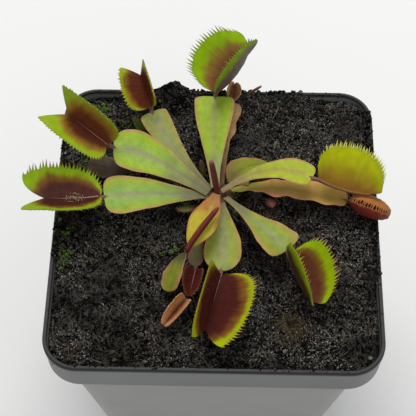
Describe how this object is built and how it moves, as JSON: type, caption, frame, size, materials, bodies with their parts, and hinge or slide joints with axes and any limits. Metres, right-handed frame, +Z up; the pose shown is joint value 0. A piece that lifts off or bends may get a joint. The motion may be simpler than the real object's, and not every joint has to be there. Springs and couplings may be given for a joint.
{
  "type": "potted venus flytrap",
  "caption": "Venus flytrap rosette with open toothed traps, growing in peat in a square tapered nursery pot with a stepped collar.",
  "frame": {"origin": "centre of the pot's flat underside, where it stands", "axes": "+Z up along the pot's axis; +X and +Y square to the pot's sides; +Y is the side of the tall north leaf, and -Y the side of the big south trap"},
  "size_m": [0.1014, 0.0996, 0.117],
  "materials": {
    "pot_plastic": "satin",
    "peat": "matte",
    "rhizome_tissue": "matte",
    "leaf_green": "satin",
    "leaf_orange": "satin",
    "leaf_yellow": "satin",
    "leaf_dark_red": "satin",
    "leaf_tan": "matte",
    "leaf_dead_brown": "matte",
    "bark": "matte"
  },
  "bodies": {
    "root": {"pot": "pot_plastic", "soil": "peat", "rhizome": "rhizome_tissue", "leaf_north": "leaf_green", "leaf_north_northwest": "leaf_green", "leaf_northwest": "leaf_green", "leaf_west": "leaf_green", "leaf_south": "leaf_green", "leaf_southeast": "leaf_green", "leaf_east_upper": "leaf_green", "leaf_east_lower": "leaf_orange", "leaf_young_folded": "leaf_yellow", "leaf_old_behind_north": "leaf_tan", "leaf_small_dark_red": "leaf_dark_red", "leaf_small_southwest": "leaf_green", "leaf_small_green": "leaf_green", "leaf_dead_flat": "leaf_dead_brown", "bract_east": "leaf_green", "bud_spike": "leaf_dark_red", "stub_north": "leaf_dead_brown", "stub_west": "leaf_tan", "trap_dried": "leaf_tan", "bark_chip": "bark", "twig": "bark"}
  },
  "joints": []
}
